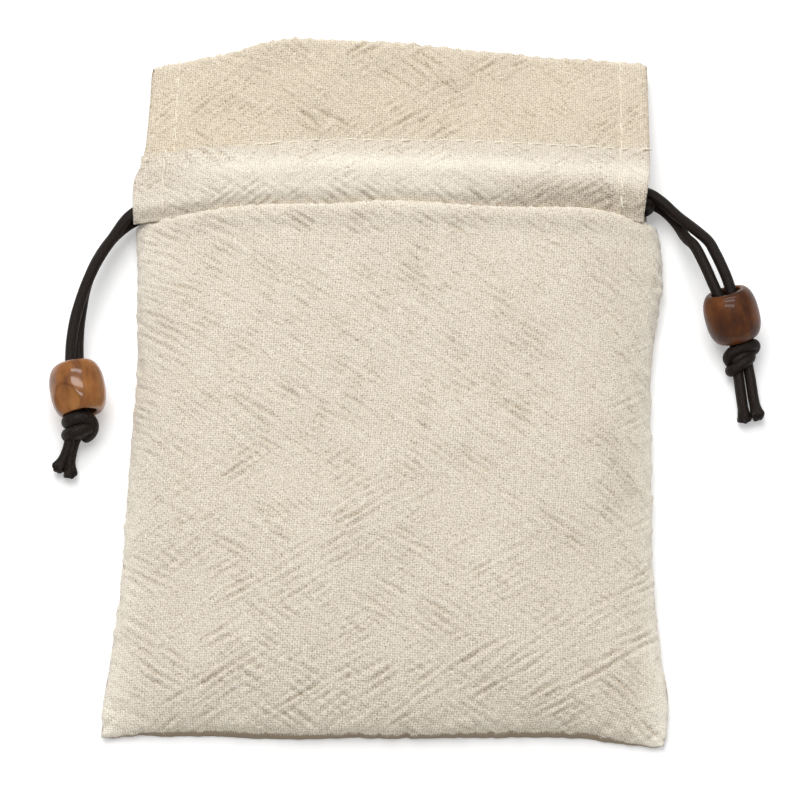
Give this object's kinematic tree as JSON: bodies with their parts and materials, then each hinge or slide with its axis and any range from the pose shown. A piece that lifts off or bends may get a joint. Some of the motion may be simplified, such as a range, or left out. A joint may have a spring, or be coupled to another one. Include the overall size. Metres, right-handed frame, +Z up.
{
  "type": "drawstring bag",
  "caption": "Flat cloth drawstring pouch with a stitched neck casing, doubled draw cords, wooden stopper beads and knotted cord ends.",
  "frame": {"origin": "on the surface the bag lies on, under the middle of the cloth", "axes": "+X to the viewer's right across the bag, +Y from the bottom seam to the mouth, +Z up from the surface"},
  "size_m": [0.1346, 0.14, 0.0139],
  "materials": {
    "cloth": "matt plain-weave cotton and linen, natural colour",
    "cord": "satin woven cord, dark brown",
    "bead_wood": "stained wood under clear gloss lacquer",
    "thread": "cream sewing thread"
  },
  "bodies": {
    "pouch": {"front_panel": "cloth", "back_panel": "cloth", "front_casing": "cloth", "back_casing": "cloth", "back_header": "cloth"},
    "front_header": {"front_header": "cloth"},
    "right_cord": {"right_drawcord_run": "cord", "right_strand_front": "cord", "right_strand_back": "cord", "right_knot": "cord"},
    "right_bead": {"right_bead": "bead_wood"},
    "left_cord": {"left_drawcord_run": "cord", "left_strand_front": "cord", "left_strand_back": "cord", "left_knot": "cord"},
    "left_bead": {"left_bead": "bead_wood"}
  },
  "joints": [
    {"name": "front_header_lift", "type": "hinge", "parent": "pouch", "child": "front_header", "pos_m": [0, 0.05, 0.0106], "axis": [1, 0, 0], "range_deg": [0, 70]},
    {"name": "right_cord_pull", "type": "slide", "parent": "pouch", "child": "right_cord", "axis": [1, 0, 0], "range_m": [0, 0.002]},
    {"name": "left_cord_pull", "type": "slide", "parent": "pouch", "child": "left_cord", "axis": [-1, 0, 0], "range_m": [0, 0.002]},
    {"name": "right_bead_travel", "type": "hinge", "parent": "right_cord", "child": "right_bead", "pos_m": [0.0603, 0.02423, -0.011], "axis": [-0.933, -0.36, 0], "range_deg": [0, 35]},
    {"name": "left_bead_travel", "type": "hinge", "parent": "left_cord", "child": "left_bead", "pos_m": [-0.014, 0.0075, 0.00525], "axis": [0, 0, -1], "range_deg": [0, 25]}
  ]
}
